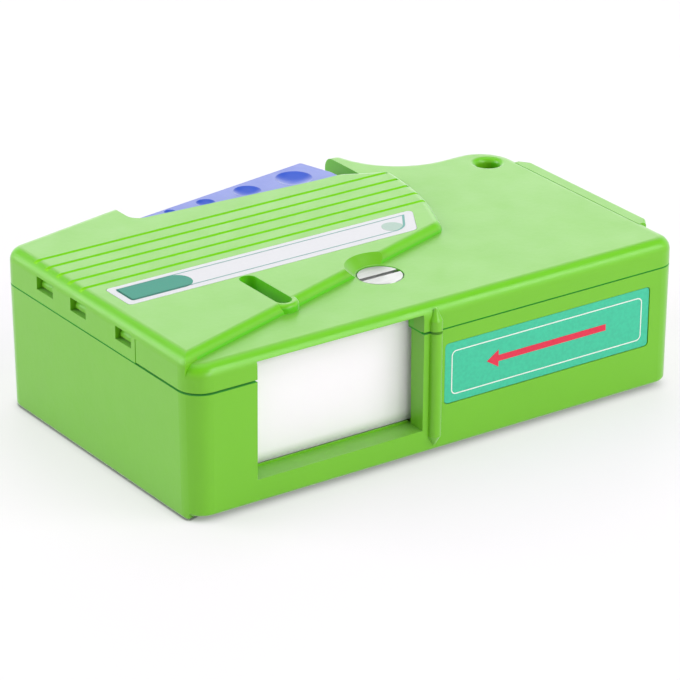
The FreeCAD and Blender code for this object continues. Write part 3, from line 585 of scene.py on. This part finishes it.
# ---- ratchet pawls with their pins and leaf springs ----
# Two acetal pawls for the take-up reel's teeth, both shown lifted clear of them. The back-stop
# pawl turns on a pin in the floor and the drive pawl on a pin in the lever, each with a bent
# steel leaf behind it.
pawl_acetal = moulded("pawl_acetal", (0.72, 0.71, 0.62), 0.4, mottle=0.03)
dress(pawl_acetal, "back_stop_pawl", "drive_pawl")
dress(ground_steel, "back_stop_pin", "drive_pawl_pin")
dress(strip_steel, "back_stop_spring", "drive_pawl_spring")

# ---- the thumb lever with its pin and coil spring ----
# Blue ABS, moulded as a channel, with four finger dimples of growing size sunk in its top. It
# swings on a ground steel pin, and a coil of spring wire pushes it back out. A painted shade,
# a deeper blue, is laid over the far side of each dimple.
lever_blue = moulded("lever_blue", (0.088, 0.145, 0.58), 0.34, sheen=1.0, grain=0.2)
blue_tree = lever_blue.node_tree
blue_place = add_node(blue_tree, "TexCoord").outputs["Object"]
lever_low, lever_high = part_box("thumb_lever")


def from_dimples(shift):
    """Distance in radii from the nearest dimple, all of them moved back by a share of theirs."""
    nearest = None
    for along, across, radius in ((0.0189, 0.00846, 0.0014), (0.0278, 0.00856, 0.0022),
                                  (0.0387, 0.00926, 0.0031), (0.0510, 0.00986, 0.0041)):
        centre = (lever_low.x + along + shift * radius / 2,
                  lever_low.y + across + shift * radius, lever_high.z)
        reach = reckon(blue_tree, "DIVIDE", distance_from(blue_tree, blue_place, centre), radius)
        nearest = reckon(blue_tree, "MINIMUM", nearest, reach) if nearest else reach
    return nearest


# Painted shade: a deeper blue on the far side of each dimple, fading towards the near side.
in_dimple = rescale(blue_tree, from_dimples(0), 0.9, 1.04, 1.0, 0.0, smooth=True)
shaded_far_side = rescale(blue_tree, from_dimples(0.5), 0.5, 1.35, 1.0, 0.0, smooth=True)
lay_over(blue_tree, blue_tree.nodes["Principled BSDF"],
         reckon(blue_tree, "MULTIPLY", in_dimple, shaded_far_side), (0.015, 0.085, 0.60))
dress(lever_blue, "thumb_lever")
dress(ground_steel, "lever_pivot_pin")
dress(steel("spring_wire", (0.5, 0.5, 0.5), 0.28, (2500, 2500, 2500)), "lever_spring")

# ---- the coin lock and its clip ----
# A turned and nickel-plated head with a coin slot, worn bright in streaks, held in the cover by
# a spring ring.
dress(steel("worn_nickel", (0.50, 0.505, 0.50), 0.36, (250, 2400, 2400)), "coin_lock")
dress(strip_steel, "lock_clip")

# ---- front label: teal film with a white line and a red arrow ----
# A printed plastic film in a shallow recess of the front wall, with a thin white line inside
# its edge and a red arrow that points left to the window.


def film(name, colour, rough, shine, grain_scale, mottle):
    """Printed film: a fine satin grain in its colour and its gloss."""
    material, tree, shader = new_material(name)
    satin = noise(tree, add_node(tree, "TexCoord").outputs["Object"], grain_scale, 4)
    set_inputs(tree, shader, {
        "Base Color": mottled(tree, satin, 0.35, 0.65, colour, mottle),
        "Roughness": rescale(tree, satin, 0, 1, rough - 0.06, rough + 0.06),
        "Normal": relief(tree, satin, 0.15, 0.00002),
        "Specular IOR Level": shine,
    })
    return material


def flat_plate(name, x0, x1, y0, y1):
    """A flat rectangle with its corners at those places."""
    bpy.ops.mesh.primitive_plane_add(size=1, location=((x0 + x1) / 2, (y0 + y1) / 2, 0))
    plate = bpy.context.object
    plate.name = name
    plate.scale = (x1 - x0, y1 - y0, 1)
    settle(plate)
    return plate


def ink(piece, colour_name, colour, rough):
    """Gives a flat shape the thickness of a coat of ink and its colour."""
    ink_t = 0.00003
    finish_with(piece, "SOLIDIFY", thickness=ink_t, offset=1)
    piece.data.materials.append(film(colour_name, colour, rough, 0.15, 2200, 0.03))
    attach(piece, "case")


dress(film("teal_film", (0.037, 0.52, 0.305), 0.42, 0.5, 1600, 0.05), "front_label")
front_low, front_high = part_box("front_label")
film_t = 0.0003
front_tilt = math.atan2(front_high.y - front_low.y - film_t, front_high.z - front_low.z)
front_wide = front_high.x - front_low.x
front_tall = (front_high.z - front_low.z) / math.cos(front_tilt)


def stand_on_front(piece):
    """Turns a flat shape, drawn from the label's lower left corner, up onto the front label."""
    face_proud = 0.00001
    bottom_y = front_low.y + math.tan(front_tilt) * (front_high.z - front_low.z)
    piece.rotation_euler = (math.pi / 2 + front_tilt, 0, 0)
    piece.location = (front_low.x, bottom_y - face_proud, front_low.z)
    settle(piece)


near_inset, far_inset = 0.0016, 0.0018
line_corner_r, front_line_w = 0.0012, 0.00024
frame_line = flat_plate("front_label_line", near_inset, front_wide - far_inset,
                        near_inset, front_tall - far_inset)
edit(frame_line)
bpy.ops.mesh.bevel(offset=line_corner_r, segments=6, affect="VERTICES")
bpy.ops.mesh.select_all(action="SELECT")
bpy.ops.mesh.inset(thickness=front_line_w)
bpy.ops.mesh.delete(type="FACE")
leave_edit()
stand_on_front(frame_line)
ink(frame_line, "white_ink", (0.80, 0.84, 0.78), 0.45)

shaft_left, shaft_right, shaft_y, shaft_half = 0.0133, 0.0406, 0.0068, 0.0007
head_spread, head_length = 2.7, 0.0029
arrow = flat_plate("front_label_arrow", shaft_left, shaft_right,
                   shaft_y - shaft_half, shaft_y + shaft_half)
edit(arrow, lambda co: co.x < (shaft_left + shaft_right) / 2)
bpy.ops.mesh.select_mode(type="EDGE")
bpy.ops.mesh.extrude_region_move()
bpy.ops.transform.resize(value=(1, head_spread, 1), center_override=(shaft_left, shaft_y, 0))
bpy.ops.mesh.extrude_region_move(TRANSFORM_OT_translate={"value": (-head_length, 0, 0)})
bpy.ops.mesh.merge(type="CENTER")
bpy.ops.mesh.select_all(action="SELECT")
bpy.ops.mesh.normals_make_consistent(inside=False)
leave_edit()
stand_on_front(arrow)
ink(arrow, "red_ink", (0.72, 0.04, 0.08), 0.4)

# ---- top label: white film with teal print ----
# A white plastic film stuck on the plateau, its right end cut on a slant. A teal field, a thin
# line inside its edge and a pale disc are printed on it, and the rest is left bare.
dress(film("white_film", (0.61, 0.61, 0.64), 0.36, 0.5, 1200, 0.015), "top_label")
top_low, top_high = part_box("top_label")


def lay_on_top(piece, lift):
    """Puts a flat shape, drawn from the label's lower left corner, on the top label."""
    piece.location = (top_low.x, top_low.y, top_high.z + lift)
    settle(piece)


line_left, line_right, line_near, line_far = 0.0017, 0.0675, 0.0017, 0.0081
line_middle_x, line_middle_y = (line_left + line_right) / 2, (line_near + line_far) / 2
line_slant, line_round_r, line_w, line_end_w = 0.0042, 0.0022, 0.0002, 0.00055
line = flat_plate("top_label_line", line_left, line_right, line_near, line_far)
for v in line.data.vertices:
    if v.co.x > line_middle_x and v.co.y > line_middle_y:
        v.co.x += line_slant
edit(line, lambda co: co.x > line_middle_x and co.y < line_middle_y)
bpy.ops.mesh.bevel(offset=line_round_r, segments=8, affect="VERTICES")
leave_edit()
outer_corners = len(line.data.vertices)
edit(line)
bpy.ops.mesh.inset(thickness=line_w)
bpy.ops.mesh.delete(type="FACE")
leave_edit()
for v in line.data.vertices[outer_corners:]:
    if v.co.x > line_middle_x:
        v.co.x -= line_end_w - line_w
lay_on_top(line, 0.00001)
ink(line, "pale_teal_ink", (0.14, 0.38, 0.34), 0.4)

field_left, field_right, field_near, field_far = 0.0015, 0.0171, 0.0015, 0.0080
field_middle_x = (field_left + field_right) / 2
field_round_r, field_corner_r = 0.0032, 0.0007
field = flat_plate("top_label_field", field_left, field_right, field_near, field_far)
edit(field, lambda co: co.x > field_middle_x)
bpy.ops.mesh.bevel(offset=field_round_r, segments=10, affect="VERTICES")
leave_edit()
edit(field, lambda co: co.x < field_left + field_corner_r)
bpy.ops.mesh.bevel(offset=field_corner_r, segments=5, affect="VERTICES")
leave_edit()
lay_on_top(field, 0.00001)
ink(field, "teal_ink", (0.02, 0.27, 0.19), 0.4)

disc_r, disc_place = 0.0023, (0.0659, 0.0041, 0)
bpy.ops.mesh.primitive_circle_add(vertices=48, radius=disc_r, fill_type="NGON",
                                  location=disc_place)
disc = bpy.context.object
disc.name = "top_label_disc"
settle(disc)
lay_on_top(disc, 0.000002)
ink(disc, "pale_disc_ink", (0.40, 0.54, 0.47), 0.4)
